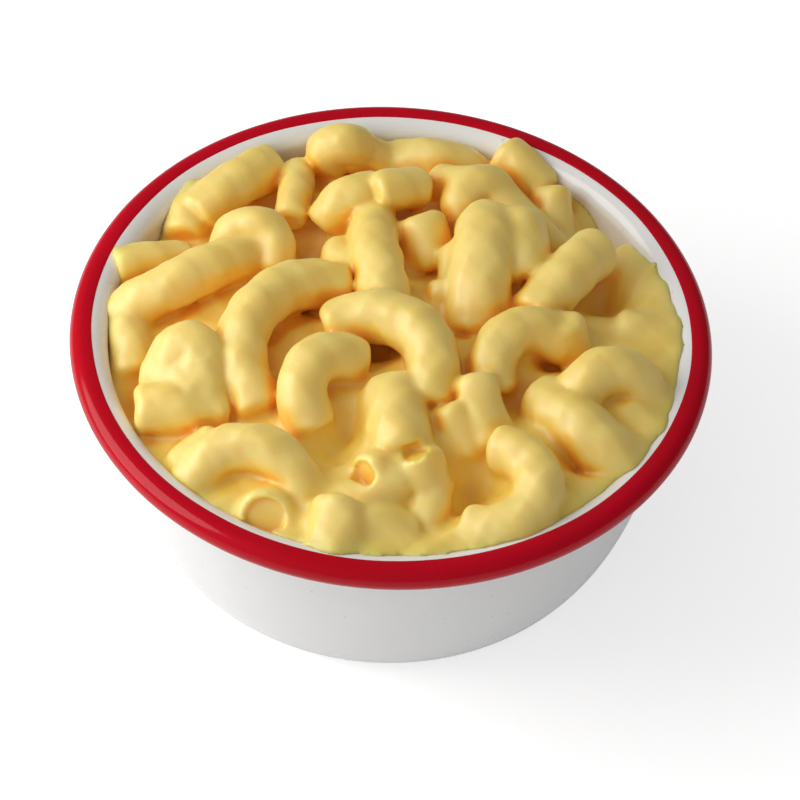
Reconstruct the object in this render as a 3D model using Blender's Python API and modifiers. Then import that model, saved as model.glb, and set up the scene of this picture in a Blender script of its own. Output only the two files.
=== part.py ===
"""Mac and cheese in an enamelled steel bowl.

Two solids stand in one frame, in metres, with +Z up and the origin under the
middle of the bowl's base: the bowl with its rolled rim, and the heap of
sauce-coated elbow macaroni that fills it.
"""

import math

import bmesh
import bpy
import numpy as np

# ---------------------------------------------------------------- bowl sizes
RIM_OUTER_RADIUS = 0.0650       # to the outside of the rolled rim
BEAD_RADIUS = 0.0027            # the rim is rolled over to this radius
BEAD_HEIGHT = 0.0497            # middle of the roll above the base
BASE_RADIUS = 0.0390            # the flat that the bowl stands on
WALL_RADIUS = 0.0585            # outside of the wall just under the rim
WALL_TOP = BEAD_HEIGHT - 0.0022
SHEET = 0.0012                  # steel with its enamel on both sides
WALL_FULLNESS = 3.46            # higher: the wall reaches its width sooner
WALL_RISE = 1.42                # lower: the bend at the base is rounder
SHOULDER_HEIGHT = 0.0040        # the inner wall rounds over into the rim
RED_EDGE_RADIUS = 0.0610        # inside this circle the rim is white
BOWL_STEPS = 64
WALL_POINTS = 11
SHOULDER_POINTS = 3
BEAD_POINTS = 9
BEAD_SWEEP = 230.0              # degrees of the roll that stand free of the wall

# ---------------------------------------------------------------- heap sizes
FIT_GAP = 0.0003                # between the food and the enamel
TUBE_RADIUS = 0.0049            # a cooked elbow with its coat of sauce
SAUCE_MIDDLE = 0.0025           # sauce level at the middle, from the rim roll
SAUCE_FALL = 0.0125             # how much lower it stands at the wall
SAUCE_SLOPE = 2.6               # steepness of the sauce between the elbows
HOLLOW = (0.0440, 0.0325)       # where the food has sunk away from the wall
HOLLOW_SPREAD = 0.0055
HOLLOW_DEPTH = 0.0070
HEAP_EDGE_RADIUS = 0.0570
SKIRT_DROP = 0.0200             # the heap's side is smooth from here down
WALL_FIT_POWER = 8              # how sharply the outermost ring meets the wall
HEAP_RINGS = 22
SAMPLES_PER_ELBOW = 25

# Each elbow that shows: where the middle of its bend lies, in millimetres from
# the bowl's axis and from the rim roll's middle, then three angles in degrees
# and its shape. "turn" is the heading of the tube at that middle, seen from
# above, "climb" is how steeply it rises there, and "lean" rolls the back of
# the bend from level (0) to upright (90) and beyond. "bend" is the radius of
# the bend in millimetres and "sweep" the angle that the elbow goes through.
# x, y, z, turn, climb, lean, bend, sweep
ELBOWS = (
    # along the back wall, left to right
    (-35, 42, 2, 15, 5, 60, 7.5, 145),
    (-23, 53, -5, 30, 0, 95, 7.5, 85),
    (-44, 36, -3, 70, 5, 55, 9.5, 115),
    (-11, 51, 3, 15, 0, 80, 6.5, 155),
    (7, 53, -1, -10, 0, 70, 16, 75),
    (29, 48, 1, 0, -35, 140, 8, 85),
    (36, 37, -4, 5, -50, 150, 25, 30),
    # second row
    (-50, 20, -3, 25, -10, 120, 20, 40),
    (-29, 25, 4, -25, 5, 40, 7, 180),
    (-23, 38, 1, -90, -5, 120, 9.5, 80),
    (-10, 36, 3, 30, -10, 50, 11, 75),
    (-5, 37, 5, -10, 10, 135, 9, 115),
    (17, 39, 4, 25, 0, 35, 7, 180),
    (31, 32, -2, -30, -20, 115, 16, 50),
    # the middle of the heap
    (-43, 7, 3, 35, 5, 125, 20, 85),
    (-51, -1, -5, 55, -15, 35, 17, 50),
    (-28, -2, 5, -110, 0, 165, 21, 120),
    (-4, 16, 6, -75, 0, 105, 17, 70),
    (8, 23, 0, -60, -30, 120, 19, 35),
    (14, 23, 7, 60, 5, 60, 11, 110),
    (29, 22, 5, -70, -5, 60, 10, 90),
    (37, 17, 5, 45, -20, 70, 9.5, 140),
    (4, -4, 8, -35, 0, 20, 13.5, 150),
    (25, -4, 8, 40, 0, 40, 8.5, 145),
    (-17, -17, 7, 60, 5, 30, 9.5, 130),
    # along the right wall
    (50, 23, -5, -30, 0, 10, 6, 180),
    (55, 12, -5, -60, -5, 60, 10, 70),
    (53, 5, -3, -15, -10, 105, 11, 75),
    (47, -10, 3, -5, -15, 35, 7.5, 160),
    (46, -20, -2, -35, -10, 135, 8, 105),
    # the front half
    (-42, -10, 4, 15, 0, 15, 5.5, 210),
    (-41, -26, 2, -5, 0, 150, 6, 145),
    (-24, -35, 4, -10, 5, 35, 8, 175),
    (-23, -42, -3, 105, -25, -115, 30, 25),
    (-36, -39, -3, -55, -20, 160, 9, 80),
    (2, -25, 5, -60, -5, 125, 7, 115),
    (16, -26, 5, -140, -10, 45, 6, 115),
    (37, -25, 3, -45, -10, 125, 12, 85),
    (28, -45, 3, -115, -10, 15, 10.5, 150),
    (3, -39, 2, 50, -5, 125, 16, 55),
    (0, -30, -2, 65, -15, 120, 25, 30),
    (-2, -51, 0, 10, 0, 65, 9, 105),
)


# ------------------------------------------------------------------ materials
def enamel(name, colour):
    """A glossy coat of vitreous enamel."""
    material = bpy.data.materials.new(name)
    material.use_nodes = True
    shader = material.node_tree.nodes["Principled BSDF"]
    shader.inputs["Base Color"].default_value = (*colour, 1.0)
    shader.inputs["Roughness"].default_value = 0.18
    shader.inputs["Metallic"].default_value = 0.0
    return material


def cheese_sauce():
    """The smooth sauce that coats the pasta."""
    material = bpy.data.materials.new("cheese_sauce")
    material.use_nodes = True
    shader = material.node_tree.nodes["Principled BSDF"]
    shader.inputs["Base Color"].default_value = (0.82, 0.58, 0.20, 1.0)
    shader.inputs["Roughness"].default_value = 0.35
    shader.inputs["Metallic"].default_value = 0.0
    return material


# ----------------------------------------------------------------- the bowl
def wall_curve(base_radius, wall_radius, bottom, top, count):
    """Points (radius, height) up a bowl wall, from the flat base to the top.

    The angle runs through a quarter turn. Unequal powers of its sine and
    cosine make a tight bend at the base and a nearly upright wall.
    """
    points = []
    for i in range(count):
        angle = 0.5 * math.pi * i / (count - 1)
        spread = math.sin(angle) ** (2.0 / WALL_FULLNESS)
        rise = 1.0 - max(math.cos(angle), 0.0) ** (2.0 / WALL_RISE)
        radius = base_radius + (wall_radius - base_radius) * spread
        points.append((radius, bottom + (top - bottom) * rise))
    return points


def inner_wall(count):
    """The enamel's inner face from the floor of the bowl up to the shoulder."""
    return wall_curve(BASE_RADIUS - SHEET, WALL_RADIUS - SHEET, SHEET,
                      BEAD_HEIGHT + BEAD_RADIUS - SHOULDER_HEIGHT, count)


def bowl_profile():
    """The bowl's section, from the middle of its floor over the rim and down."""
    bead_middle = RIM_OUTER_RADIUS - BEAD_RADIUS
    profile = [(0.0, SHEET)] + inner_wall(WALL_POINTS)
    inner_radius, shoulder_base = profile[-1]
    for i in range(1, SHOULDER_POINTS + 1):
        angle = 0.5 * math.pi * i / (SHOULDER_POINTS + 1)
        radius = bead_middle - (bead_middle - inner_radius) * math.cos(angle)
        profile.append((radius, shoulder_base + SHOULDER_HEIGHT * math.sin(angle)))
    for i in range(BEAD_POINTS):
        angle = math.radians(90.0 - BEAD_SWEEP * i / (BEAD_POINTS - 1))
        radius = bead_middle + BEAD_RADIUS * math.cos(angle)
        profile.append((radius, BEAD_HEIGHT + BEAD_RADIUS * math.sin(angle)))
    outer = wall_curve(BASE_RADIUS, WALL_RADIUS, 0.0, WALL_TOP, WALL_POINTS)
    profile += reversed(outer)
    profile.append((0.0, 0.0))
    return profile


def turned_object(name, profile, steps, collection):
    """A closed body turned from a profile in the XZ plane."""
    mesh = bpy.data.meshes.new(name)
    vertices = [(radius, 0.0, height) for radius, height in profile]
    edges = [(i, i + 1) for i in range(len(vertices) - 1)]
    mesh.from_pydata(vertices, edges, [])
    obj = bpy.data.objects.new(name, mesh)
    collection.objects.link(obj)
    screw = obj.modifiers.new("turn", "SCREW")
    screw.axis = "Z"
    screw.steps = steps
    screw.render_steps = steps
    screw.use_merge_vertices = True
    screw.merge_threshold = 0.00001
    return obj


def applied_mesh(obj):
    """The object's mesh with its modifiers applied."""
    graph = bpy.context.evaluated_depsgraph_get()
    mesh = bpy.data.meshes.new_from_object(obj.evaluated_get(graph))
    obj.modifiers.clear()
    obj.data = mesh
    return mesh


def paint_rim(mesh, white, red):
    """White all over, but red over the top and the outside of the rolled rim."""
    mesh.materials.clear()
    mesh.materials.append(white)
    mesh.materials.append(red)
    for face in mesh.polygons:
        if math.hypot(face.center.x, face.center.y) > RED_EDGE_RADIUS:
            face.material_index = 1


def make_bowl(collection, white, red):
    bowl = turned_object("bowl", bowl_profile(), BOWL_STEPS, collection)
    mesh = applied_mesh(bowl)
    paint_rim(mesh, white, red)
    mesh.shade_smooth()
    mesh.set_sharp_from_angle(angle=math.radians(40.0))
    return bowl


# ------------------------------------------------------------------- the heap
def elbow_centreline(x, y, z, turn, climb, lean, bend, sweep):
    """Points along the middle of one elbow, an arc around its bend."""
    turn, climb, lean, sweep = (math.radians(v) for v in (turn, climb, lean, sweep))
    along = np.array((math.cos(turn) * math.cos(climb),
                      math.sin(turn) * math.cos(climb),
                      math.sin(climb)))
    level = np.array((-math.sin(turn), math.cos(turn), 0.0))
    back = math.cos(lean) * level + math.sin(lean) * np.cross(along, level)
    angle = np.linspace(-0.5 * sweep, 0.5 * sweep, SAMPLES_PER_ELBOW)[:, None]
    middle = np.array((x, y, z))
    arc = middle + bend * ((np.cos(angle) - 1.0) * back + np.sin(angle) * along)
    return arc * 0.001 + np.array((0.0, 0.0, BEAD_HEIGHT))


def heap_height(x, y, centrelines):
    """The top of the heap over the points x, y: elbows over a pool of sauce."""
    radius = np.hypot(x, y) / HEAP_EDGE_RADIUS
    top = BEAD_HEIGHT + SAUCE_MIDDLE - SAUCE_FALL * radius ** 2
    from_hollow = np.hypot(x - HOLLOW[0], y - HOLLOW[1]) / HOLLOW_SPREAD
    top = top - HOLLOW_DEPTH * np.exp(-0.5 * from_hollow ** 2)
    for px, py, pz in centrelines:
        away = np.hypot(x - px, y - py)
        dome = np.sqrt(np.maximum(TUBE_RADIUS ** 2 - away ** 2, 0.0))
        flank = SAUCE_SLOPE * np.maximum(away - TUBE_RADIUS, 0.0)
        top = np.maximum(top, pz + dome - flank)
    return top


def round_the_hexagon(x, y):
    """Moves the points of a hexagon outwards until its edge is round.

    The hexagon has a corner at +Y at radius 1. The third value returned runs
    from 0 in the middle to 1 at the edge.
    """
    radius = np.hypot(x, y)
    sector = (np.arctan2(y, x) + math.pi / 6.0) % (math.pi / 3.0)
    to_side = np.cos(sector - math.pi / 6.0) / math.cos(math.pi / 6.0)
    return x * to_side, y * to_side, radius * to_side


def inner_radius_at(height):
    """Inner radius of the bowl at a height, read along its wall."""
    curve = np.array(inner_wall(WALL_POINTS))
    return np.interp(height, curve[:, 1], curve[:, 0])


def lower_ring(mesh_data, rim, radius, height):
    """Extrudes the open edge of the heap and moves it to a lower ring."""
    made = bmesh.ops.extrude_edge_only(mesh_data, edges=rim)
    for vertex in (v for v in made["geom"] if isinstance(v, bmesh.types.BMVert)):
        scale = radius / math.hypot(vertex.co.x, vertex.co.y)
        vertex.co = (vertex.co.x * scale, vertex.co.y * scale, height)
    return [e for e in made["geom"] if isinstance(e, bmesh.types.BMEdge)
            and abs(e.verts[0].co.z - e.verts[1].co.z) < 1e-7 and e.is_boundary]


def make_heap(collection, material):
    """One solid: the uneven top, and a skirt that follows the bowl inside."""
    centrelines = np.concatenate([elbow_centreline(*row) for row in ELBOWS])
    data = bmesh.new()
    bmesh.ops.create_circle(data, cap_ends=True, cap_tris=True, segments=6, radius=1.0)
    bmesh.ops.subdivide_edges(data, edges=data.edges[:], cuts=HEAP_RINGS - 1,
                              use_grid_fill=True)
    flat = np.array([v.co for v in data.verts])
    x, y, share = round_the_hexagon(flat[:, 0], flat[:, 1])
    height = heap_height(x * HEAP_EDGE_RADIUS, y * HEAP_EDGE_RADIUS, centrelines)
    wall = inner_radius_at(height) - FIT_GAP
    reach = HEAP_EDGE_RADIUS + (wall - HEAP_EDGE_RADIUS) * share ** WALL_FIT_POWER
    for vertex, px, py, pz in zip(data.verts, x * reach, y * reach, height):
        vertex.co = (px, py, pz)

    edge = [e for e in data.edges if e.is_boundary]
    for radius, wall_height in reversed(inner_wall(WALL_POINTS)):
        if wall_height < BEAD_HEIGHT - SKIRT_DROP:
            edge = lower_ring(data, edge, radius - FIT_GAP, wall_height + FIT_GAP)
    bmesh.ops.holes_fill(data, edges=edge, sides=0)
    bmesh.ops.triangulate(data, faces=data.faces[:])
    bmesh.ops.recalc_face_normals(data, faces=data.faces[:])

    mesh = bpy.data.meshes.new("mac_and_cheese")
    data.to_mesh(mesh)
    data.free()
    mesh.materials.append(material)
    mesh.shade_smooth()
    heap = bpy.data.objects.new("mac_and_cheese", mesh)
    collection.objects.link(heap)
    return heap


def main():
    for obj in list(bpy.data.objects):
        bpy.data.objects.remove(obj, do_unlink=True)
    collection = bpy.data.collections.new("mac_and_cheese_bowl")
    bpy.context.scene.collection.children.link(collection)
    white = enamel("white_enamel", (0.80, 0.79, 0.77))
    red = enamel("red_enamel", (0.55, 0.01, 0.02))
    make_bowl(collection, white, red)
    make_heap(collection, cheese_sauce())


main()
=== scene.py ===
# %% [markdown]
# # Macaroni and cheese in an enamelled bowl
#
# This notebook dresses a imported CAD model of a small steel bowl, enamelled
# white with a red rolled rim, and heaped with elbow macaroni in a smooth
# cheese sauce. The CAD model is the frame: it fixes where everything is and
# how big it is. Each new piece is a surface worked out with numpy in that
# same frame.

# %% Load the frame
import math

import bmesh
import bpy
import numpy as np
from mathutils import Matrix, Vector


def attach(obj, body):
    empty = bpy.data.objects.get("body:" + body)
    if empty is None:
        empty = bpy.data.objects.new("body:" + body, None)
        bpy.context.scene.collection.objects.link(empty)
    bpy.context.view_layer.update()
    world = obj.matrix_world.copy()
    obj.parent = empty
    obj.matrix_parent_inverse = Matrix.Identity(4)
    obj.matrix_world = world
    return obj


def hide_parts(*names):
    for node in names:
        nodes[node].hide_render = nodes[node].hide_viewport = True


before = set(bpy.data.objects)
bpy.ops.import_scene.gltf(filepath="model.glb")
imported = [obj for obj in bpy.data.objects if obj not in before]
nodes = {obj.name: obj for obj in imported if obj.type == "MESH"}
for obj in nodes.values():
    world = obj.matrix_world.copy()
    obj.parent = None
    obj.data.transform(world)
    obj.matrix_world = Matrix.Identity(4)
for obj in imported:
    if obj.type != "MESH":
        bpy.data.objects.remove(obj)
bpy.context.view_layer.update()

print("CAD nodes:", sorted(nodes))

# %% [markdown]
# ## Measures
#
# A maker of such a bowl would note only a few sizes. All of them are in
# millimetres. Heights are taken from the middle of the rolled rim, because
# the food is heaped around that level, and each finished mesh is lifted and
# scaled to metres in one place.

# %% The bowl's and the food's measures
RIM_RADIUS = 64.98              # to the outside of the rolled rim
ROLL = 2.7                      # radius of the roll, with its red coat
RIM_HEIGHT = 49.7               # the middle of the roll above the table
BASE_RADIUS = 39.0
WALL_RADIUS = 58.5              # outside of the wall just under the rim
SHEET = 1.2                     # steel with enamel on both sides
FULLNESS = 3.46                 # higher: the wall is more upright
RISE = 1.42                     # lower: the bend at the base is rounder
SHOULDER = 4.0                  # the inner wall rounds over into the rim
TUBE = 4.9                      # radius of a cooked elbow in its sauce


def in_metres(points):
    """Millimetres from the rim's level to metres from the table."""
    return (np.asarray(points, float) + (0.0, 0.0, RIM_HEIGHT)) * 0.001


print("bowl", 2 * RIM_RADIUS, "mm across,", RIM_HEIGHT + ROLL, "mm high")

# %% [markdown]
# ## The camera
#
# The bowl is seen from the front and well above, from more than half a metre
# away through a long lens, so its circles stay nearly true ellipses. The
# camera is also rolled a little about its own axis, which tilts the rim. A
# camera in Blender looks along its own -Z, so it is aimed first and then
# turned about Z.

# %% Aim the camera
CAMERA_PLACE = (0.0, -0.3948, 0.4814)
CAMERA_TARGET = (0.00236, -0.01826, 0.0497)
CAMERA_ROLL = 3.312
LENS = 129.9                    # focal length in mm, for film this wide:
FILM_WIDTH = 36.0


def aimed(place, target, roll=0.0):
    """The matrix that puts an object at place, with its -Z axis at target."""
    view = Vector(target) - Vector(place)
    turn = view.to_track_quat("-Z", "Y").to_matrix().to_4x4()
    spin = Matrix.Rotation(math.radians(roll), 4, "Z")
    return Matrix.Translation(place) @ turn @ spin


camera_data = bpy.data.cameras.new("camera")
camera_data.lens = LENS
camera_data.sensor_width = FILM_WIDTH
camera = bpy.data.objects.new("camera", camera_data)
camera.matrix_world = aimed(CAMERA_PLACE, CAMERA_TARGET, CAMERA_ROLL)
bpy.context.scene.collection.objects.link(camera)
bpy.context.scene.camera = camera
print("camera", round(math.dist(CAMERA_PLACE, CAMERA_TARGET), 3), "m away")

# %% [markdown]
# ## The light
#
# Soft studio light comes from a large lamp close by at the left, a little
# higher than the bowl, and a pale room fills the shadows. The lamp is an area
# light: its size against its distance sets how soft the shadows are. The room
# is the world's background, whose strength leans with the direction, so that
# it is brighter at the left, in front and low down. Reflections see a darker
# room, as they would in a studio with dark far walls. The standard view
# transform keeps the white floor white.

# %% Light the studio
KEY_PLACE = (-0.26, -0.03, 0.215)
KEY_TARGET = (0.0, 0.0, 0.03)
KEY_SIZE = 0.30
KEY_POWER = 0.66
KEY_COLOUR = (1.0, 0.995, 0.965)
ROOM_COLOUR = (0.99, 0.99, 0.99, 1.0)
ROOM = 0.60
ROOM_IN_GLOSS = 0.15            # the room's strength in reflections
ROOM_SIDE = (-0.55, -0.15, -0.20)    # towards where the room is brighter

key_data = bpy.data.lights.new("key_light", "AREA")
key_data.shape = "DISK"
key_data.size = KEY_SIZE
key_data.energy = KEY_POWER
key_data.color = KEY_COLOUR
key = bpy.data.objects.new("key_light", key_data)
key.matrix_world = aimed(KEY_PLACE, KEY_TARGET)
bpy.context.scene.collection.objects.link(key)

world = bpy.data.worlds.new("pale_room")
bpy.context.scene.world = world
world.use_nodes = True
room = world.node_tree
room.nodes["Background"].inputs["Color"].default_value = ROOM_COLOUR
ray = room.nodes.new("ShaderNodeLightPath")
way = room.nodes.new("ShaderNodeTexCoord")
lean = room.nodes.new("ShaderNodeVectorMath")
lean.operation = "DOT_PRODUCT"
lean.inputs[1].default_value = ROOM_SIDE
room.links.new(way.outputs["Generated"], lean.inputs[0])
level = room.nodes.new("ShaderNodeMapRange")
level.inputs["To Min"].default_value = ROOM
level.inputs["To Max"].default_value = ROOM_IN_GLOSS
room.links.new(ray.outputs["Is Glossy Ray"], level.inputs["Value"])
scaled = room.nodes.new("ShaderNodeMath")
scaled.operation = "MULTIPLY_ADD"
room.links.new(level.outputs["Result"], scaled.inputs[0])
room.links.new(lean.outputs["Value"], scaled.inputs[1])
room.links.new(level.outputs["Result"], scaled.inputs[2])
room.links.new(scaled.outputs["Value"], room.nodes["Background"].inputs["Strength"])
bpy.context.scene.view_settings.view_transform = "Standard"
print("key light", KEY_POWER, "W, room", ROOM)

# %% [markdown]
# ## A surface from a grid
#
# Most pieces here are a function of two parameters. numpy works out all the
# points of the grid at once, and one helper turns the grid into a mesh:
# neighbours become quads, either direction can close on itself, and points
# that fall together, as at a pole, are merged so that the surface is shut.

# %% From a grid of points to a mesh object
MERGE = 1e-6                    # metres: points closer than this are one


def new_piece(name, points, faces):
    """An object at the origin whose mesh holds the points (mm) and faces."""
    mesh = bpy.data.meshes.new(name)
    points = in_metres(points)
    faces = np.asarray(faces, np.int32)
    mesh.vertices.add(len(points))
    mesh.vertices.foreach_set("co", points.astype(np.float32).ravel())
    mesh.loops.add(faces.size)
    mesh.loops.foreach_set("vertex_index", faces.ravel())
    mesh.polygons.add(len(faces))
    mesh.polygons.foreach_set("loop_start", np.arange(0, faces.size, faces.shape[1]))
    mesh.update(calc_edges=True)
    mesh.validate()
    obj = bpy.data.objects.new(name, mesh)
    bpy.context.scene.collection.objects.link(obj)
    return obj


def grid_faces(rows, columns, close_rows, close_columns):
    """Quads between neighbouring points of a grid, as vertex numbers."""
    i = np.arange(rows if close_rows else rows - 1)
    j = np.arange(columns if close_columns else columns - 1)
    i, j = (a.ravel() for a in np.meshgrid(i, j, indexing="ij"))
    i2, j2 = (i + 1) % rows, (j + 1) % columns
    return np.stack([i * columns + j, i2 * columns + j,
                     i2 * columns + j2, i * columns + j2], axis=1)


def grid_piece(name, grid, close_rows=False, close_columns=False):
    """A surface piece from points on a (rows, columns, 3) grid, in mm."""
    rows, columns = grid.shape[:2]
    obj = new_piece(name, grid.reshape(-1, 3),
                    grid_faces(rows, columns, close_rows, close_columns))
    data = bmesh.new()
    data.from_mesh(obj.data)
    bmesh.ops.remove_doubles(data, verts=data.verts, dist=MERGE)
    bmesh.ops.recalc_face_normals(data, faces=data.faces)
    data.to_mesh(obj.data)
    data.free()
    obj.data.shade_smooth()
    print(name, len(obj.data.vertices), "vertices")
    return obj


def turned(radius, height, steps):
    """The grid of a profile carried round the Z axis.

    Point (i, j) is at angle i of a full turn: (r_j cos a, r_j sin a, h_j).
    """
    angle = np.linspace(0.0, 2.0 * math.pi, steps, endpoint=False)[:, None]
    return np.stack([radius * np.cos(angle), radius * np.sin(angle),
                     np.broadcast_to(height, (steps, len(height)))], axis=2)


# %% [markdown]
# ## The white bowl
#
# The bowl is one sheet of steel drawn up from a flat base to a nearly upright
# wall, flared into a shoulder and rolled over at the top. On a real one that
# is spinning or pressing, and turning a section round the axis gives exactly
# such a form. The section is one closed line: the floor, the inner wall, the
# shoulder, the roll and the outer wall. Points stand closer where it bends.

# %% The bowl's section
ROLL_MIDDLE = RIM_RADIUS - ROLL
COAT = 0.14                     # thickness of the red coat on the roll
ROLL_SWEEP = 235.0              # degrees that the steel is rolled through
OUTER_TOP = -2.2                # where the outer wall meets the roll
FLOOR_POINTS, WALL_POINTS, ROLL_POINTS = 12, 60, 14
BOWL_STEPS = 256                # steps round the bowl


def wall_curve(base_radius, wall_radius, bottom, top, count):
    """Radius and height up a wall, for an angle a from 0 to a quarter turn.

    The radius grows as a power of sin a and the height as a power of cos a,
    which gives a tight bend at the base and a nearly upright wall.
    """
    a = np.linspace(0.0, 0.5 * math.pi, count)
    spread = np.sin(a) ** (2.0 / FULLNESS)
    rise = 1.0 - np.maximum(np.cos(a), 0.0) ** (2.0 / RISE)
    return base_radius + (wall_radius - base_radius) * spread, bottom + (top - bottom) * rise


def inner_wall(count):
    """The enamel's inner face from the floor of the bowl up to the shoulder."""
    return wall_curve(BASE_RADIUS - SHEET, WALL_RADIUS - SHEET,
                      SHEET - RIM_HEIGHT, ROLL - SHOULDER, count)


def shoulder_and_roll(roll, count, sweep):
    """From the top of the inner wall over the shoulder and round the roll."""
    inner_radius = WALL_RADIUS - SHEET
    a = np.linspace(0.0, 0.5 * math.pi, count)
    b = np.radians(90.0 - np.linspace(0.0, sweep, 2 * count))
    low = ROLL - SHOULDER
    radius = np.concatenate([ROLL_MIDDLE - (ROLL_MIDDLE - inner_radius) * np.cos(a),
                             (ROLL_MIDDLE + roll * np.cos(b))[1:]])
    height = np.concatenate([low + (roll - low) * np.sin(a), (roll * np.sin(b))[1:]])
    return radius, height


floor = np.linspace(0.0, BASE_RADIUS - SHEET, FLOOR_POINTS, endpoint=False)
inner = inner_wall(WALL_POINTS)
rim = shoulder_and_roll(ROLL - COAT, ROLL_POINTS, ROLL_SWEEP)
outer = wall_curve(BASE_RADIUS, WALL_RADIUS, -RIM_HEIGHT, OUTER_TOP, WALL_POINTS)
under = np.linspace(BASE_RADIUS, 0.0, FLOOR_POINTS)[1:]
section_radius = np.concatenate([floor, inner[0], rim[0][1:], outer[0][::-1], under])
section_height = np.concatenate([np.full(len(floor), SHEET - RIM_HEIGHT), inner[1], rim[1][1:],
                                 outer[1][::-1], np.full(len(under), -RIM_HEIGHT)])
bowl = grid_piece("white_bowl", turned(section_radius, section_height, BOWL_STEPS),
                  close_rows=True)

# %% [markdown]
# ## The red rim
#
# After the white, the rim is dipped once more in red enamel. The coat is
# thin, follows the roll and the edge of the shoulder, and ends in a round lip
# that wanders a little, because it was drawn by hand. So the surface runs
# once along the section and back underneath, and its start moves in and out
# with the angle round the bowl.

# %% Dip the rim in red
RED_STARTS = 0.745              # how far along the shoulder the red begins
RED_SWEEP = 222.0               # degrees round the roll where it ends
RED_STEPS = 288                 # steps round the bowl
RED_POINTS = 44                 # points from lip to lip
LINE_POINTS = 60                # points of the shoulder's line that it follows
LIP = 0.5                       # the coat swells to its thickness over this width
TUCKED = 0.05                   # its back lies this far inside the white


def red_coat(steps, count):
    """The coat as a grid: angle round the bowl by place round the coat.

    The outer line is the section moved out by the coat's thickness, which
    rises from either lip as a quarter of a circle: with u the distance from
    the lip over LIP, up to 1, it is COAT sqrt(1 - (1 - u)^2).
    """
    angle = np.linspace(0.0, 2.0 * math.pi, steps, endpoint=False)
    wander = 0.014 * np.sin(3.0 * angle + 0.7) + 0.008 * np.sin(8.0 * angle + 2.1)
    wander = wander + 0.004 * np.sin(17.0 * angle + 4.0)
    radius, height = shoulder_and_roll(ROLL - COAT, LINE_POINTS, RED_SWEEP)
    along = np.concatenate([[0.0], np.cumsum(np.hypot(np.diff(radius), np.diff(height)))])
    shoulder_length = along[LINE_POINTS - 1]
    start = (RED_STARTS + wander) * shoulder_length
    share = 0.5 - 0.5 * np.cos(np.linspace(0.0, math.pi, count))
    place = start[:, None] + (along[-1] - start)[:, None] * share
    r = np.interp(place, along, radius)
    h = np.interp(place, along, height)
    slope_r = np.interp(place, along, np.gradient(radius, along))
    slope_h = np.interp(place, along, np.gradient(height, along))
    length = np.hypot(slope_r, slope_h)
    out_r, out_h = -slope_h / length, slope_r / length
    from_lip = np.minimum(place - start[:, None], along[-1] - place)
    thick = COAT * np.sqrt(1.0 - (1.0 - np.clip(from_lip / LIP, 0.0, 1.0)) ** 2)
    top = np.stack([r + out_r * thick, h + out_h * thick], axis=2)
    back = np.stack([r - out_r * TUCKED, h - out_h * TUCKED], axis=2)[:, -2:0:-1]
    loop = np.concatenate([top, back], axis=1)
    a = np.broadcast_to(angle[:, None], loop.shape[:2])
    return np.stack([loop[..., 0] * np.cos(a), loop[..., 0] * np.sin(a), loop[..., 1]], axis=2)


red_rim = grid_piece("red_rim", red_coat(RED_STEPS, RED_POINTS),
                     close_rows=True, close_columns=True)

# %% [markdown]
# ## Where the elbows lie
#
# Macaroni falls at random, so each elbow that shows has a row here: the
# middle of its bend in millimetres, then its heading, its climb and the lean
# of its back in degrees, the radius of its bend and the angle it goes
# through. The last two columns say how thick it is against the usual, and
# which ends show their hole: 0 for neither, 1 for the tail, 2 for the head.

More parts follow.
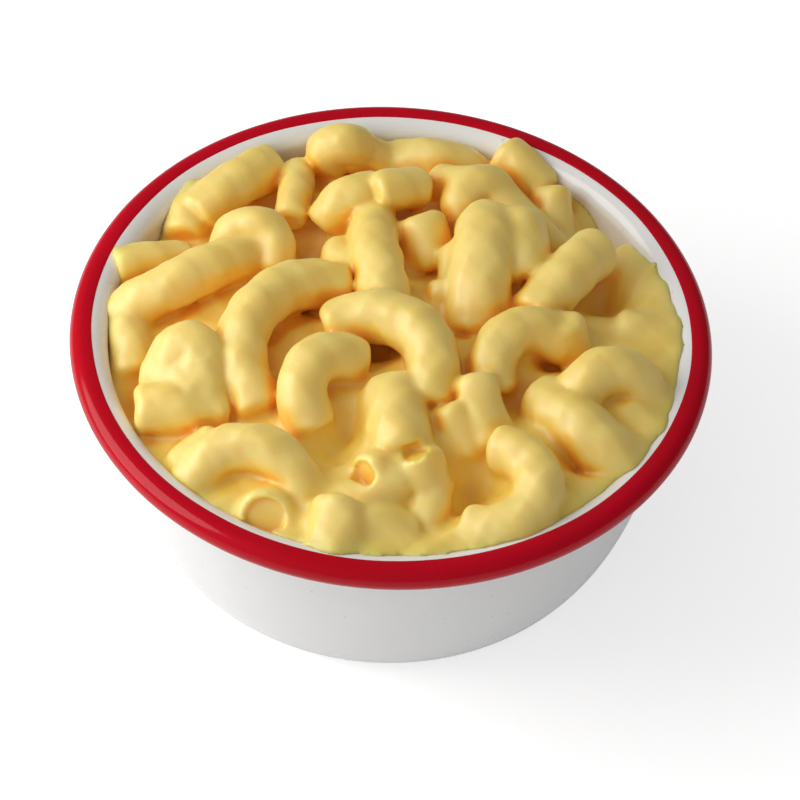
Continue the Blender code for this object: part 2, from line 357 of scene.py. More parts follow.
# %% The table of elbows
# x, y, z, turn, climb, lean, bend, sweep, thick, open
ELBOWS = np.array([
    (-35, 39.5, 0, 48, 0, 90, 30, 28, 1.05, 0),
    (-44.5, 35.5, -3, -89, 0, 90, 30, 18, 1, 0),
    (-50.5, 17.5, -2, 21, -13, 90, 30, 17, 0.95, 0),
    (-43, 8.5, 3, 32, 7, 116, 23.5, 68, 1, 0),
    (-52.5, -5.5, -3.5, -76, -11, 90, 30, 10, 0.95, 0),
    (-30, 24, 4, -1, 6, 38, 5, 194, 0.85, 0),
    (-13.5, 49.5, 4, 15, 10, 104, 3, 203, 0.92, 0),
    (-6.5, 52, -0.5, 3, -30, 90, 30, 8, 0.75, 0),
    (-22, 39, 0, -92, 10, 90, 30, 21, 0.75, 0),
    (-9.5, 33.5, 4.5, 32, 6, 96, 6.5, 87, 0.95, 0),
    (0, 35.5, 5.5, 29, -15, 90, 30, 8, 0.9, 0),
    (7, 51.5, -1, -5, 0, 98, 13, 82, 0.95, 0),
    (-4, 16, 5, -81, 5, 106, 30, 42, 1.08, 0),
    (-10, 17, 1.5, -60, 12, 90, 30, 9, 0.75, 0),
    (6, 24.5, 1, -67, -38, 90, 30, 6, 1.15, 0),
    (15.5, 38.5, 4, 37, 0, 41, 4, 194, 1, 0),
    (27, 32.5, -1, -38, -20, 90, 30, 22, 1, 0),
    (12, 40.5, 2.5, -40, 20, 90, 30, 6, 0.85, 0),
    (17.5, 14, 5.5, -95, -14, 95, 20, 55, 1.38, 0),
    (25.5, 21, 4, -80, -13, 90, 30, 13, 1.3, 0),
    (21.5, 19.5, 4, -96, -14, 90, 30, 12, 1.25, 0),
    (13.5, 14, 2.5, -86, -10, 90, 30, 11, 0.95, 0),
    (12.5, 9, 3, 4, 0, 90, 30, 5, 0.55, 0),
    (26.5, 48.5, 0, -34, -21, 90, 30, 10, 0.95, 0),
    (33, 37, -2.5, -81, -34, 90, 30, 10, 0.85, 0),
    (35, 13, 5, 53, 6, 90, 30, 29, 1.1, 0),
    (50.5, 21, -5, -75, 0, 90, 30, 16, 1.05, 0),
    (57, 11.5, -4, -80, 0, 90, 30, 19, 1, 0),
    (53, 4, -2, -8, -13, 90, 30, 13, 0.9, 0),
    (24, -4.5, 6, 41, 0, 40, 9, 123, 1, 0),
    (35.5, -2, 2.5, -44, -64, 90, 30, 3, 0.95, 0),
    (46, -12.5, 5.5, 9, -26, 59, 7.5, 128, 1, 0),
    (39.5, -26.5, 2, -38, -13, 112, 14.5, 80, 1.22, 0),
    (50.5, -21.5, -2.5, -45, -14, 90, 30, 8, 1.05, 0),
    (18, -21.5, 4, -77, -39, 90, 30, 6, 0.95, 0),
    (14, -26.5, 1, -60, -37, 90, 30, 6, 0.85, 0),
    (19.5, -24.5, 1.5, -68, -23, 90, 30, 5, 0.95, 0),
    (4, -5, 7, -41, -1, 23, 13, 126, 1.12, 0),
    (-28, -2.5, 6, -114, -2, 157, 19, 117, 1.06, 0),
    (-16, -17.5, 7, 63, 8, 41, 8, 128, 1.03, 0),
    (2, -26.5, 3, -81, 0, 90, 30, 18, 1.3, 0),
    (-40, -12.5, 6, -4, 9, 36, 3, 216, 1.05, 0),
    (-40.5, -25, 1.5, 5, -6, 90, 30, 18, 1.05, 0),
    (-36, -20.5, 2.5, -75, -35, 90, 30, 10, 1, 0),
    (-42, -19, 2.5, -33, 11, 90, 30, 10, 0.95, 0),
    (-26.5, -35.5, 4, -2, 3, 43, 11, 151, 0.95, 0),
    (-36, -35, -0.5, 36, 24, 90, 30, 5, 0.9, 0),
    (-22, -46, -4, 87, -51, 90, 30, 10, 1.15, 1),
    (-8.5, -52.5, -0.5, -96, -19, 90, 30, 9, 1.15, 0),
    (0.5, -50, -2.5, -6, -14, 90, 30, 8, 1.05, 0),
    (2, -39.5, 1, 29, 12, 90, 30, 23, 0.9, 0),
    (1, -35.5, 1, 46, -22, 90, 30, 13, 0.8, 1),
    (7.5, -39.5, 1, -58, -62, 90, 30, 8, 0.74, 1),
    (9, -43.5, -2.5, -97, -23, 90, 30, 10, 0.85, 0),
    (29.5, -43.5, 2.5, -106, -13, 12, 9, 165, 1, 0),
    (39, -39, -4, -140, 0, 90, 30, 18, 0.9, 0),
])
print(len(ELBOWS), "elbows show")

# %% [markdown]
# ## The pool of sauce
#
# Between the elbows lies the sauce. It stands highest in the middle of the
# heap, falls towards the wall, fills some hollows smoothly and has drained
# out of others. Its level is a function of x and y: a dome, and a round
# hill or pit for each place in a short table. Where it wets the enamel it
# climbs a little. A steep climb would meet the sloping wall in a ragged line,
# so where the sauce stands high against the wall, as at the right, broad
# low hills lift it and it meets the wall nearly level.

# %% The level of the sauce
# x, y, spread, height
POOLS = np.array([
    (44, 32.0, 5.5, -7.2),
    (-19, 26, 3.5, -7.0),
    (18, -36, 4.5, -7.0),
    (15.5, -41.5, 3.8, -5.0),
    (56, -22, 10.0, 1.6),
    (58, 4, 8.0, 2.4),
    (54, 24, 8.0, 2.0),
    (8.5, -46.5, 3.5, -6.0),
    (-10, -33, 3.0, -4.0),
    (39, -31.5, 3.0, -5.0),
    (-8, -27, 3.0, -4.0),
    (-50, -18, 5.0, -2.0),
    (-27, 38, 3.0, -4.0),
    (-17, 6, 3.5, -3.0),
    (-3, -4, 4.0, -6.0),
    (14, 1, 3.0, -3.0),
    (26, -17, 4.0, -5.0),
    (33, -5, 3.0, -6.0),
    (34, 26, 3.5, -6.0),
    (7, -18, 2.5, -5.0),
    (7, 18, 3.5, -3.0),
    (43, 14, 4.0, -8.0),
    (-46, -18, 4.0, -3.0),
])
SAUCE_MIDDLE = 2.6
SAUCE_FALL = 5.0                # from the middle to this distance out:
FALL_RADIUS = 57.0
CLIMB_RADIUS = 59.0             # the climb is full here and dies away inwards
CLIMB_WIDTH = 2.0
SAUCE_TILT = (0.036, -0.055)    # it stands higher at the right and the front
# angle round the bowl in degrees, height of the climb there
CLIMBS = np.array([(-160, 1.4), (-148, 1.4), (-135, 1.8), (-118, 2.4), (-104, 2.2), (-90, 1.5),
                   (-68, 1.1), (-50, 0.6), (-28, 0.2), (-8, 0.2), (8, 0.4), (22, 1.8),
                   (36, 4.2), (52, 5.2), (66, 3.0), (80, 1.4)])


def sauce_level(x, y):
    """A dome, plus hills and pits, plus a short climb up the wall."""
    level = SAUCE_MIDDLE - SAUCE_FALL * (x * x + y * y) / FALL_RADIUS ** 2
    level = level + SAUCE_TILT[0] * x + SAUCE_TILT[1] * y
    for px, py, spread, height in POOLS:
        away = ((x - px) ** 2 + (y - py) ** 2) / spread ** 2
        level = level + height * np.exp(-0.5 * away)
    from_wall = np.minimum(np.hypot(x, y) - CLIMB_RADIUS, 0.0)
    around = np.degrees(np.arctan2(y, x))
    climb = np.interp(around, CLIMBS[:, 0], CLIMBS[:, 1], period=360.0)
    return level + climb * np.exp(from_wall / CLIMB_WIDTH)


print("sauce in the middle", round(float(sauce_level(0.0, 0.0)), 1), "mm over the rim's middle")

# %% [markdown]
# ## How far a point is from an elbow
#
# Sauce rounds every crease, so the elbows aren't joined as hard tubes.
# Instead each point of a fine grid in space is told how far it is from the
# nearest elbow, less than zero inside it. Two such distances are blended
# with a smooth minimum, which leaves a soft fillet where two elbows touch, as
# a thick sauce does. The surface is then drawn through the zeros.

# %% Distances and soft joints


def soft_min(a, b, width):
    """The lower of a and b, rounded where they are within width."""
    near = np.maximum(width - np.abs(a - b), 0.0) / width
    return np.minimum(a, b) - 0.25 * width * near * near


def elbow_axes(turn, climb, lean):
    """Unit vectors along the elbow at its middle, to its back, and across."""
    turn, climb, lean = (math.radians(v) for v in (turn, climb, lean))
    along = np.array((math.cos(turn) * math.cos(climb),
                      math.sin(turn) * math.cos(climb), math.sin(climb)))
    level = np.array((-math.sin(turn), math.cos(turn), 0.0))
    back = math.cos(lean) * level + math.sin(lean) * np.cross(along, level)
    return along, back, np.cross(along, back)


END_STANDS = 4.3                # how far the cut end stands past the bend
END_ROUND = 2.1                 # the sauce rounds the cut to this radius


def elbow_distance(points, row, radius):
    """Distance to a bent tube: to its centre line, less the tube's radius.

    Past either end of the bend the tube is a short straight cylinder with
    rounded edges. The other values are the distance along the tube past its
    nearer end, the distance from the centre line, and which end is nearer,
    -1 for the tail and 1 for the head.
    """
    along, back, across = elbow_axes(*row[3:6])
    bend, half = row[6], math.radians(row[7]) / 2.0
    rel = points - (row[:3] - bend * back)
    a, c, d = rel @ back, rel @ along, rel @ across
    angle = np.arctan2(c, a)
    off_line = np.hypot(np.hypot(a, c) - bend, d)
    side = np.sign(angle) + (angle == 0.0)
    end_a, end_c = bend * math.cos(half), side * bend * math.sin(half)
    dir_a, dir_c = -math.sin(half), side * math.cos(half)
    past = (a - end_a) * dir_a + (c - end_c) * dir_c
    out = (a - end_a) * math.cos(half) + (c - end_c) * side * math.sin(half)
    off_end = np.hypot(out, d)
    beyond = np.abs(angle) > half
    wide = off_end - (radius - END_ROUND)
    far = past - (END_STANDS - END_ROUND)
    end_gap = (np.minimum(np.maximum(wide, far), 0.0)
               + np.hypot(np.maximum(wide, 0.0), np.maximum(far, 0.0)) - END_ROUND)
    distance = np.where(beyond, end_gap, off_line - radius)
    run = np.where(beyond, past, bend * (np.abs(angle) - half))
    return distance, run, np.where(beyond, off_end, off_line), side


# %% [markdown]
# ## The field of distances
#
# The grid covers the top of the heap. Each elbow is worked out only in the
# block of grid around it, which keeps this quick. Low waves are added, so
# that no tube is perfectly round, then the holes in the open ends are cut.
# Last, the whole is held inside the bowl's wall: it reaches a little into the
# enamel, so that no seam gapes, and its edge turns down softly there.

# %% Fill the grid
STEP = 0.625
LOW, HIGH, SIDE = -17.0, 17.0, 61.5
JOINT = 0.9                     # softness where elbow meets elbow
POOL_JOINT = 1.8                # softness where elbow meets sauce
HOLE = 0.66                     # radius of an open end's hole against the tube's
HOLE_START = 3.2                # where the hole's sauce lies, past the end of the bend
HOLE_JOINT = 0.9                # how round the hole's edge is
SINK = 0.4                      # how far the food reaches into the enamel
WALL_JOINT = 1.5                # how round its edge turns down there
FAR = 6.0                       # what a point is told where no elbow is near

axis_xy = np.arange(-SIDE, SIDE + 0.5 * STEP, STEP)
axis_z = np.arange(LOW, HIGH + 0.5 * STEP, STEP)
shape = (len(axis_xy), len(axis_xy), len(axis_z))
elbow_field = np.full(shape, FAR, np.float32)
hole_field = np.full(shape, FAR, np.float32)


def waves(x, y, z):
    """Low uneven waves, 3 to 10 mm long and up to a few tenths of a mm high."""
    return (0.22 * np.sin(0.55 * x + 0.31 * y + 1.3) * np.sin(0.47 * y - 0.38 * z + 0.4)
            + 0.18 * np.sin(0.83 * y - 0.52 * x + 2.0) * np.sin(0.71 * z + 0.36 * x)
            + 0.06 * np.sin(1.7 * x + 1.1 * z) * np.sin(1.5 * y - 0.9 * z + 0.8))


for row in ELBOWS:
    along, back, across = elbow_axes(*row[3:6])
    half = math.radians(row[7]) / 2.0
    turn = np.linspace(-half, half, 15)[:, None]
    line = row[:3] + row[6] * ((np.cos(turn) - 1.0) * back + np.sin(turn) * along)
    reach = TUBE * row[8] + FAR + 0.5
    low = np.maximum(((line.min(0) - reach - (-SIDE, -SIDE, LOW)) / STEP).astype(int), 0)
    high = ((line.max(0) + reach - (-SIDE, -SIDE, LOW)) / STEP).astype(int) + 1
    block = tuple(slice(a, max(b, a + 1)) for a, b in zip(low, high))
    points = np.stack(np.meshgrid(axis_xy[block[0]], axis_xy[block[1]], axis_z[block[2]],
                                  indexing="ij"), axis=3)
    if points.size == 0:
        continue
    distance, run, off, side = elbow_distance(points, row, TUBE * row[8])
    elbow_field[block] = soft_min(elbow_field[block], distance, JOINT)
    if row[9]:
        wanted = side < 0 if row[9] == 1 else side > 0
        lengthways = np.maximum(HOLE_START - run, run - END_STANDS - 1.0)
        hole = np.maximum(off - HOLE * TUBE * row[8], lengthways)
        hole_field[block] = np.minimum(hole_field[block], np.where(wanted, hole, FAR))

grid_x, grid_y, grid_z = np.meshgrid(axis_xy, axis_xy, axis_z, indexing="ij", sparse=True)
level = sauce_level(grid_x, grid_y)[:, :, 0]
slope = np.hypot(*np.gradient(level, STEP))
pool_field = (grid_z - level[:, :, None]) / np.sqrt(1.0 + slope * slope)[:, :, None]
field = soft_min(elbow_field, pool_field, POOL_JOINT)
field = field + waves(grid_x, grid_y, grid_z)
field = -soft_min(-field, hole_field, HOLE_JOINT)
wall_radius, wall_height = inner_wall(200)
lip_radius, lip_height = shoulder_and_roll(ROLL - COAT, 40, 10.0)
free_radius = np.interp(axis_z, np.concatenate([wall_height, lip_height[1:40]]),
                        np.concatenate([wall_radius, lip_radius[1:40]]))
flare = np.sqrt(1.0 + np.gradient(free_radius, STEP) ** 2)
wall_field = (np.hypot(grid_x, grid_y) - free_radius) / flare - SINK
field = -soft_min(-field, -wall_field, WALL_JOINT)
print("grid", field.shape, "inside", round(float((field < 0).mean()), 2))

# %% [markdown]
# ## A surface through the zeros
#
# A surface net is the simplest way to draw a surface through a grid of
# distances. Each cell that the surface crosses gets one vertex, at the mean
# of the crossings on its twelve edges, and each grid edge that is crossed
# gets one quad between its four cells. All of it is array work. Two things
# are put right first: bubbles shut inside the sauce are filled, and so are
# squares of the grid where solid meets solid only at a corner, since four
# faces would share an edge there. Afterwards every vertex slides along the
# slope of the field until its distance is zero, which takes the last
# stair-steps away.

# %% Surface net
BUBBLE_FILL = -0.3              # the distance given to a filled bubble
CORNER_FILL = -0.02             # and to a filled corner, just under the surface


def read_field(values, points, corner):
    """Values of a grid at any points, blended from the eight nodes around."""
    place = (points - corner) / STEP
    limit = np.array(values.shape[:3]) - 1.001
    place = np.clip(place, 0.0, limit)
    base = place.astype(int)
    part = place - base
    total = 0.0
    for bit in range(8):
        step = np.array((bit & 1, bit >> 1 & 1, bit >> 2 & 1))
        weight = np.prod(np.where(step, part, 1.0 - part), axis=1)
        node = base + step
        total = total + weight * values[node[:, 0], node[:, 1], node[:, 2]]
    return total


def surface_net(values, corner):
    """Vertices and quads of the surface where the values are zero."""
    inside = values < 0.0
    count = np.zeros(tuple(n - 1 for n in values.shape), np.int8)
    for i in (0, 1):
        for j in (0, 1):
            for k in (0, 1):
                count += inside[i:i + count.shape[0], j:j + count.shape[1],
                                k:k + count.shape[2]]
    crossed = (count > 0) & (count < 8)
    cells = np.argwhere(crossed)
    number = np.full(count.shape, -1, np.int64)
    number[crossed] = np.arange(len(cells))
    total = np.zeros((len(cells), 3))
    hits = np.zeros(len(cells))
    for axis in range(3):
        others = [b for b in range(3) if b != axis]
        for bit in range(4):
            start = np.zeros(3, int)
            start[others[0]], start[others[1]] = bit & 1, bit >> 1
            end = start + np.eye(3, dtype=int)[axis]
            a = values[tuple((cells + start).T)]
            b = values[tuple((cells + end).T)]
            cut = (a < 0.0) != (b < 0.0)
            share = np.where(cut, a / np.where(cut, a - b, 1.0), 0.0)
            total += np.where(cut[:, None], start + share[:, None] * (end - start), 0.0)
            hits += cut
    points = corner + STEP * (cells + total / hits[:, None])
    quads = []
    for axis in range(3):
        order = [axis, (axis + 1) % 3, (axis + 2) % 3]
        solid = np.transpose(inside, order)
        cell = np.transpose(number, order)
        first, last = solid[:-1, 1:-1, 1:-1], solid[1:, 1:-1, 1:-1]
        i, j, k = np.nonzero(first != last)
        quad = np.stack([cell[i, j, k], cell[i, j + 1, k],
                         cell[i, j + 1, k + 1], cell[i, j, k + 1]], axis=1)
        flip = ~first[i, j, k]
        quad[flip] = quad[flip, ::-1]
        quads.append(quad)
    return points, np.concatenate(quads)


def open_air(solid):
    """The air that joins the air over the heap, so no bubble is left inside."""
    air = ~solid
    free = np.zeros_like(air)
    free[:, :, -1] = air[:, :, -1]
    while True:
        before = free.sum()
        for _ in range(8):
            grown = free.copy()
            grown[1:] |= free[:-1]
            grown[:-1] |= free[1:]
            grown[:, 1:] |= free[:, :-1]
            grown[:, :-1] |= free[:, 1:]
            grown[:, :, 1:] |= free[:, :, :-1]
            grown[:, :, :-1] |= free[:, :, 1:]
            free = grown & air
        if free.sum() == before:
            return free


def square_corner(values, a, i, b, j):
    """One corner of every square of the grid in the plane of axes a and b."""
    part = [slice(None)] * 3
    part[a] = slice(i, values.shape[a] - 1 + i)
    part[b] = slice(j, values.shape[b] - 1 + j)
    return values[tuple(part)]


def fill_diagonals(values, rounds):
    """Fill squares where solid meets solid only at a corner."""
    for _ in range(rounds):
        for a, b in ((0, 1), (0, 2), (1, 2)):
            p, q, r, s = (square_corner(values, a, i, b, j)
                          for i, j in ((0, 0), (1, 1), (0, 1), (1, 0)))
            r[(p < 0.0) & (q < 0.0) & (r >= 0.0) & (s >= 0.0)] = CORNER_FILL
            p[(r < 0.0) & (s < 0.0) & (p >= 0.0) & (q >= 0.0)] = CORNER_FILL


bubble = (field >= 0.0) & ~open_air(field < 0.0)
field = np.where(bubble, BUBBLE_FILL, field)
fill_diagonals(field, 4)
corner = np.array((-SIDE, -SIDE, LOW))
points, quads = surface_net(field, corner)
slopes = [g.astype(np.float32) for g in np.gradient(field, STEP)]
for _ in range(2):
    gap = read_field(field, points, corner)
    rise = np.stack([read_field(g, points, corner) for g in slopes], axis=1)
    move = gap[:, None] * rise / np.maximum((rise ** 2).sum(1), 0.2)[:, None]
    points = points - np.clip(move, -0.3 * STEP, 0.3 * STEP)
print("net of", len(points), "vertices and", 2 * len(quads), "triangles")

# %% [markdown]
# ## Painted shade in the creases
#
# Down between the elbows the sauce is painted deeper in colour: painted shade
# for the light that has bounced from sauce to sauce there. The same field
# tells how enclosed a point is: at a few steps out along its normal, open
# ground is as far from the surface as the step, and a crease is much less.
# What lies low gets painted shade as well, measured against the mean height
# of the heap around it. A second number says whether the surface is pool or
# pasta. Both are kept on the vertices for the material to read.

# %% Painted crease shade and pool share for each vertex
REACHES = (1.5, 3.5, 7.0)       # steps out along the normal
AROUND = 8.0                    # how far to each side the mean height is taken
HEAP_RADIUS = 56.0              # and only within this distance of the axis
DEPTH_START = 1.0               # below the mean height, where a point counts as low
DEPTH_FULL = 6.5                # and how much deeper it counts in full
DEPTH_SHARE = 0.6               # how much of a crease that makes
POOL_FULL = 1.6                 # all pool at this distance from the nearest elbow
normals = rise / np.linalg.norm(rise, axis=1)[:, None]
# painted shade: the less open a point is, the darker the material colours it
openness = np.zeros(len(points))
for reach in REACHES:
    beyond = read_field(field, points + reach * normals, corner) / reach
    openness += np.clip(beyond, 0.0, 1.0) / len(REACHES)
painted_crease_shade = np.clip(1.0 - openness, 0.0, 1.0)
tops = axis_z[-1] - STEP * np.argmax(field[:, :, ::-1] < 0.0, axis=2)
inside = np.hypot(grid_x, grid_y)[:, :, 0] < HEAP_RADIUS
around = int(AROUND / STEP)


def box_sum(values, reach):
    """Sum over a square of cells, from the running sums along both axes."""
    for axis in (0, 1):
        padded = np.pad(values, [(reach + 1, reach) if a == axis else (0, 0) for a in (0, 1)])
        sums = np.cumsum(padded, axis=axis)
        size = values.shape[axis]
        values = (np.take(sums, np.arange(size) + 2 * reach + 1, axis=axis)
                  - np.take(sums, np.arange(size), axis=axis))
    return values


mean_top = box_sum(tops * inside, around) / np.maximum(box_sum(inside * 1.0, around), 1.0)
cell = np.clip(np.rint((points[:, :2] + SIDE) / STEP).astype(int), 0, len(axis_xy) - 1)
depth = mean_top[cell[:, 0], cell[:, 1]] - points[:, 2]
# points lying low in the heap get more painted shade as well
low_down = np.clip((depth - DEPTH_START) / DEPTH_FULL, 0.0, 1.0)
painted_crease_shade = 1.0 - (1.0 - painted_crease_shade) * (1.0 - DEPTH_SHARE * low_down)
pooled = np.clip(read_field(elbow_field, points, corner) / POOL_FULL, 0.0, 1.0)
print("crease mean", round(float(painted_crease_shade.mean()), 3), "pool share", round(float(pooled.mean()), 3))

# %% [markdown]
# ## Close the underside
#
# The net is open where the grid ends, down inside the bowl. One face closes
# that ring, so the piece is a shut body like a lid of food.

# %% Make the macaroni piece
macaroni = new_piece("sauced_macaroni", points, quads)
for name, values in (("painted_crease_shade", painted_crease_shade), ("pooled", pooled)):
    layer = macaroni.data.attributes.new(name, "FLOAT", "POINT")
    layer.data.foreach_set("value", values.astype(np.float32))
lid = bmesh.new()
lid.from_mesh(macaroni.data)
open_edges = [e for e in lid.edges if e.is_boundary]
bmesh.ops.holes_fill(lid, edges=open_edges, sides=0)
bmesh.ops.triangulate(lid, faces=[f for f in lid.faces if len(f.verts) > 4])
lid.to_mesh(macaroni.data)
loose = sum(1 for e in lid.edges if not e.is_manifold)
lid.free()
macaroni.data.shade_smooth()
print("macaroni", len(macaroni.data.polygons), "faces,", loose, "open edges")

# %% [markdown]
# ## The core under the macaroni
#
# Below the elbows that show, the bowl is simply full. The core is a turned
# body that follows the inside of the bowl with a small gap and stops just
# under the piece above.

# %% Turn the core
CORE_GAP = 0.35                 # to the enamel
CORE_TOP = LOW - 0.25           # just under the macaroni piece
CORE_STEPS = 96
core_radius, core_height = inner_wall(24)
keep = core_height < LOW - 0.2
core_radius = np.concatenate([[0.0], core_radius[keep] - CORE_GAP])
core_height = np.concatenate([[core_height[0]], core_height[keep]]) + CORE_GAP
top_radius = np.linspace(core_radius[-1], 0.0, 8)
core_radius = np.concatenate([core_radius, top_radius])
core_height = np.concatenate([core_height, np.full(len(top_radius), CORE_TOP)])
core = grid_piece("sauce_core", turned(core_radius, core_height, CORE_STEPS), close_rows=True)

# %% [markdown]
# ## Materials
#
# Each finish is a Principled shader with small node groups for its detail.
# The sauce lets light in a little, so it has subsurface scattering, and a
# thin moist coat gives it a broad soft sheen.

# %% Shared helpers for node trees


def new_group(name, inputs, outputs):
    """An empty shader group with the sockets named, as (name, kind) pairs."""
    group = bpy.data.node_groups.new(name, "ShaderNodeTree")
    for label, kind in inputs:
        group.interface.new_socket(name=label, in_out="INPUT", socket_type=kind)
    for label, kind in outputs:
        group.interface.new_socket(name=label, in_out="OUTPUT", socket_type=kind)
    return group, group.nodes.new("NodeGroupInput"), group.nodes.new("NodeGroupOutput")


def noise(tree, vector, scale, detail):
    """A noise texture that reads the vector given."""
    node = tree.nodes.new("ShaderNodeTexNoise")
    node.inputs["Scale"].default_value = scale
    node.inputs["Detail"].default_value = detail
    tree.links.new(vector, node.inputs["Vector"])
    return node.outputs["Fac"]


def remap(tree, value, low, high, to_low, to_high):
    """A value scaled from one range to another and kept inside it."""
    node = tree.nodes.new("ShaderNodeMapRange")
    for label, number in (("From Min", low), ("From Max", high),
                          ("To Min", to_low), ("To Max", to_high)):
        node.inputs[label].default_value = number
    tree.links.new(value, node.inputs["Value"])
    return node.outputs["Result"]


def maths(tree, operation, a, b):
    """A sum or product of two sockets or numbers, by the operation's name."""
    node = tree.nodes.new("ShaderNodeMath")
    node.operation = operation
    for socket, value in zip(node.inputs, (a, b)):
        if isinstance(value, bpy.types.NodeSocket):
            tree.links.new(value, socket)
        else:
            socket.default_value = value
    return node.outputs["Value"]


def blend(tree, share, a, b):
    """Two colours mixed by a share."""
    node = tree.nodes.new("ShaderNodeMix")
    node.data_type = "RGBA"
    for socket, value in ((node.inputs[0], share), (node.inputs[6], a), (node.inputs[7], b)):
        if isinstance(value, bpy.types.NodeSocket):
            tree.links.new(value, socket)
        elif isinstance(value, tuple):
            socket.default_value = (*value, 1.0)
        else:
            socket.default_value = value
    return node.outputs[2]


def object_place(tree):
    """The object's own coordinates, in metres."""
    return tree.nodes.new("ShaderNodeTexCoord").outputs["Object"]


def finish(name, roughness, **settings):
    """A material and its Principled shader, with constants on its sockets."""
    material = bpy.data.materials.new(name)
    material.use_nodes = True
    shader = material.node_tree.nodes["Principled BSDF"]
    shader.inputs["Roughness"].default_value = roughness
    for label, value in settings.items():
        shader.inputs[label.replace("_", " ")].default_value = value
    return material, material.node_tree, shader


def bumped(tree, shader, height, strength, distance):
    """A bump from a height value, into the shader's normal."""
    node = tree.nodes.new("ShaderNodeBump")
    node.inputs["Strength"].default_value = strength
    node.inputs["Distance"].default_value = distance
    tree.links.new(height, node.inputs["Height"])
    tree.links.new(node.outputs["Normal"], shader.inputs["Normal"])


# %% [markdown]
# ### Enamel
#
# Vitreous enamel is glass fused to steel. It is very glossy, but it never
# lies quite flat: it has a faint orange peel and is a little uneven in tone,
# with a few tiny specks. One group gives these for both colours.

# %% White and red enamel
PEEL_SHARE = 0.25               # of the fine orange peel in the height
SPECK_SHARE = 0.5               # how far a speck hides the enamel around it
ENAMEL_BUMP = 0.0004            # metres
enamel_group, group_in, group_out = new_group(
    "enamel_detail", [("Place", "NodeSocketVector")],
    [("Tone", "NodeSocketFloat"), ("Speck", "NodeSocketFloat"),
     ("Gloss", "NodeSocketFloat"), ("Height", "NodeSocketFloat")])
place = group_in.outputs["Place"]
cloud = noise(enamel_group, place, 38.0, 3.0)
peel = noise(enamel_group, place, 620.0, 2.0)
wave = noise(enamel_group, place, 90.0, 2.0)
speck_noise = noise(enamel_group, place, 900.0, 0.0)
height = maths(enamel_group, "ADD", maths(enamel_group, "MULTIPLY", peel, PEEL_SHARE), wave)
for label, value in (("Tone", remap(enamel_group, cloud, 0.3, 0.7, 0.0, 1.0)),
                     ("Speck", remap(enamel_group, speck_noise, 0.80, 0.86, 0.0, 1.0)),
                     ("Gloss", remap(enamel_group, wave, 0.3, 0.7, 0.08, 0.15)),
                     ("Height", height)):
    enamel_group.links.new(value, group_out.inputs[label])


def enamel(name, light, dark, speck, strength, shine):
    """Enamel of one colour, from its lightest and darkest tone and its specks.

    The strength is that of the bump, and the shine is the specular level.
    """
    material, tree, shader = finish(name, 0.1, Specular_IOR_Level=shine)
    detail = tree.nodes.new("ShaderNodeGroup")
    detail.node_tree = enamel_group
    tree.links.new(object_place(tree), detail.inputs["Place"])
    colour = blend(tree, detail.outputs["Tone"], dark, light)
    share = maths(tree, "MULTIPLY", detail.outputs["Speck"], SPECK_SHARE)
    colour = blend(tree, share, colour, speck)
    tree.links.new(colour, shader.inputs["Base Color"])
    tree.links.new(detail.outputs["Gloss"], shader.inputs["Roughness"])
    bumped(tree, shader, detail.outputs["Height"], strength, ENAMEL_BUMP)
    return material


white_enamel = enamel("white_enamel", (0.84, 0.84, 0.84), (0.81, 0.81, 0.805),
                      (0.62, 0.60, 0.57), 0.12, 0.5)
red_enamel = enamel("red_enamel", (0.52, 0.002, 0.014), (0.46, 0.0015, 0.010),
                    (0.16, 0.01, 0.01), 0.22, 0.25)
print("enamels ready")

# %% [markdown]
# ### Cheese sauce
#
# The sauce is a warm, slightly orange yellow, paler where it lies thin over
# the pasta and richer in the pools. The creases get painted shade, golden at
# first and deep orange where they are deepest, for light bounced from sauce
# to sauce. Its detail is soft: patches of tone a few millimetres across and a
# very fine grain.

# %% Sauce material
THIN_DARKER, THIN_LIGHTER = (0.95, 0.68, 0.155), (0.96, 0.71, 0.20)
POOL_COLOUR = (0.95, 0.62, 0.09)
# painted shade colours: golden where a crease begins, deep orange where it is deepest
GOLDEN_SHADE = (0.95, 0.61, 0.055)    # where a crease begins
DEEP_SHADE = (0.90, 0.42, 0.018)      # and where it is deepest
POOL_SHARE = 0.55               # how far a pool takes its own colour
GRAIN_SHARE = 0.2               # of the fine grain in the height
SAUCE_BUMP = 0.00025            # metres
sauce_group, group_in, group_out = new_group(
    "sauce_detail", [("Place", "NodeSocketVector"), ("Painted_Crease_Shade", "NodeSocketFloat"),
                     ("Pooled", "NodeSocketFloat")],
    [("Colour", "NodeSocketColor"), ("Gloss", "NodeSocketFloat"), ("Height", "NodeSocketFloat")])
place = group_in.outputs["Place"]
patch = noise(sauce_group, place, 130.0, 3.0)
grain = noise(sauce_group, place, 900.0, 3.0)
lumps = noise(sauce_group, place, 320.0, 2.0)
painted_shade_in = group_in.outputs["Painted_Crease_Shade"]
thin = blend(sauce_group, remap(sauce_group, patch, 0.35, 0.65, 0.0, 1.0),
             THIN_DARKER, THIN_LIGHTER)
rich = blend(sauce_group, maths(sauce_group, "MULTIPLY", group_in.outputs["Pooled"], POOL_SHARE),
             thin, POOL_COLOUR)
# painted shade: the crease shade turns the colour golden, then deep orange
golden_shade = blend(sauce_group, remap(sauce_group, painted_shade_in, 0.20, 0.58, 0.0, 0.85), rich, GOLDEN_SHADE)
deep_shade = blend(sauce_group, remap(sauce_group, painted_shade_in, 0.55, 0.90, 0.0, 1.0), golden_shade, DEEP_SHADE)
height = maths(sauce_group, "ADD", lumps, maths(sauce_group, "MULTIPLY", grain, GRAIN_SHARE))
for label, value in (("Colour", deep_shade), ("Height", height),
                     ("Gloss", remap(sauce_group, patch, 0.3, 0.7, 0.52, 0.60))):
    sauce_group.links.new(value, group_out.inputs[label])


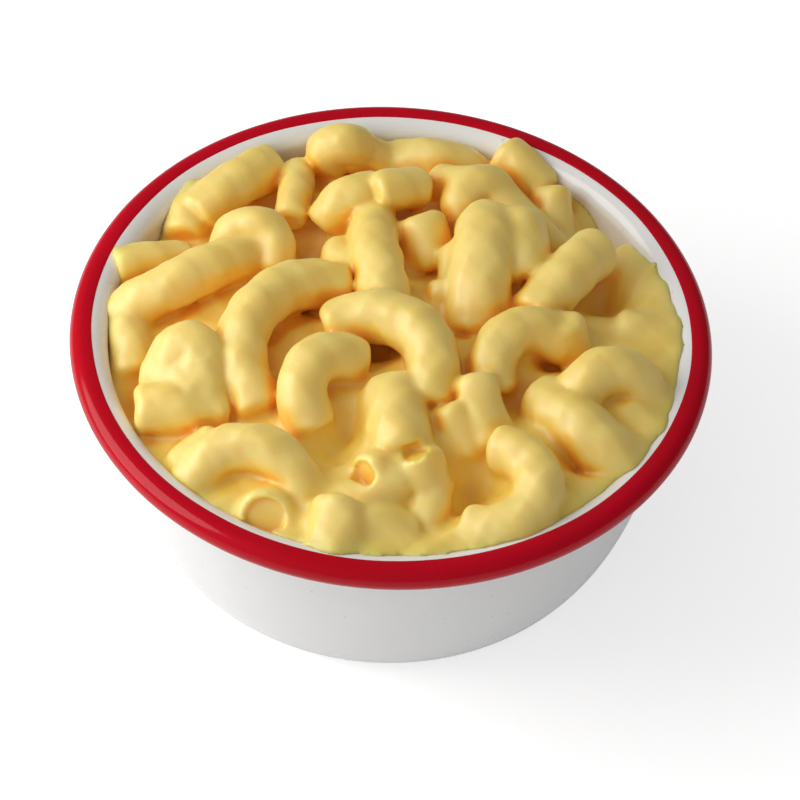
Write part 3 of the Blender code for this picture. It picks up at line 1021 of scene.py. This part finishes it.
def cheese_sauce(name, has_layers):
    """The sauce, with its painted crease shade and pool share read from the vertices where they
    are kept.
    """
    material, tree, shader = finish(
        name, 0.45, Subsurface_Weight=0.9, Subsurface_Radius=(1.0, 0.6, 0.2),
        Subsurface_Scale=0.0031, IOR=1.7, Specular_IOR_Level=0.8, Coat_Weight=0.4,
        Coat_Roughness=0.36)
    detail = tree.nodes.new("ShaderNodeGroup")
    detail.node_tree = sauce_group
    tree.links.new(object_place(tree), detail.inputs["Place"])
    if has_layers:
        for label, layer in (("Painted_Crease_Shade", "painted_crease_shade"), ("Pooled", "pooled")):
            node = tree.nodes.new("ShaderNodeAttribute")
            node.attribute_name = layer
            tree.links.new(node.outputs["Fac"], detail.inputs[label])
    tree.links.new(detail.outputs["Colour"], shader.inputs["Base Color"])
    tree.links.new(detail.outputs["Gloss"], shader.inputs["Roughness"])
    bumped(tree, shader, detail.outputs["Height"], 0.35, SAUCE_BUMP)
    return material


sauce = cheese_sauce("cheese_sauce", True)
core_sauce = cheese_sauce("core_sauce", False)
print("sauce ready")

# %% [markdown]
# ### The floor
#
# A sheet of white studio paper, large enough that its edge never shows. Its
# surface has only a trace of tooth. It glows a little, as paper on a lit
# table does, and more towards the camera than towards the bowl, so that it
# stays white without lighting the enamel too much from below.

# %% Floor and its material
FLOOR_REACH = 2500.0
FLOOR_POINTS_ACROSS = 9
FLOOR_GAP = 0.05                # under the base, so that the two never share a plane
GLOW, GLOW_SEEN = 0.12, 0.50    # towards the bowl, and towards the camera
PAPER_DARKER, PAPER_LIGHTER = (0.83, 0.83, 0.83), (0.85, 0.85, 0.85)
across = np.linspace(-FLOOR_REACH, FLOOR_REACH, FLOOR_POINTS_ACROSS)
floor_x, floor_y = np.meshgrid(across, across, indexing="ij")
floor_grid = np.stack([floor_x, floor_y, np.full_like(floor_x, -RIM_HEIGHT - FLOOR_GAP)], axis=2)
studio_floor = grid_piece("studio_floor", floor_grid)
paper, tree, shader = finish("studio_paper", 0.8, Specular_IOR_Level=0.2)
seen = tree.nodes.new("ShaderNodeLightPath").outputs["Is Camera Ray"]
tree.links.new(remap(tree, seen, 0.0, 1.0, GLOW, GLOW_SEEN), shader.inputs["Emission Strength"])
shader.inputs["Emission Color"].default_value = (1.0, 1.0, 1.0, 1.0)
place = object_place(tree)
tree.links.new(blend(tree, noise(tree, place, 3.0, 2.0), PAPER_DARKER, PAPER_LIGHTER),
               shader.inputs["Base Color"])
bumped(tree, shader, noise(tree, place, 700.0, 2.0), 0.1, 0.0002)
studio_floor.data.materials.append(paper)

# %% [markdown]
# ## Put the pieces in the frame
#
# Every piece rides on the one body of the model. The new bowl stands for the
# CAD bowl, and the macaroni and its core stand for the CAD heap.

# %% Ride, replace and finish
for piece, material, slot in ((bowl, white_enamel, "white_enamel"),
                              (red_rim, red_enamel, "red_enamel"),
                              (macaroni, sauce, "cheese_sauce"),
                              (core, core_sauce, "cheese_sauce")):
    piece.data.materials.append(material)
    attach(piece, "root")
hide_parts("bowl")
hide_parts("mac_and_cheese")
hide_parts("mac_and_cheese")

# %% Finish
bpy.context.view_layer.update()
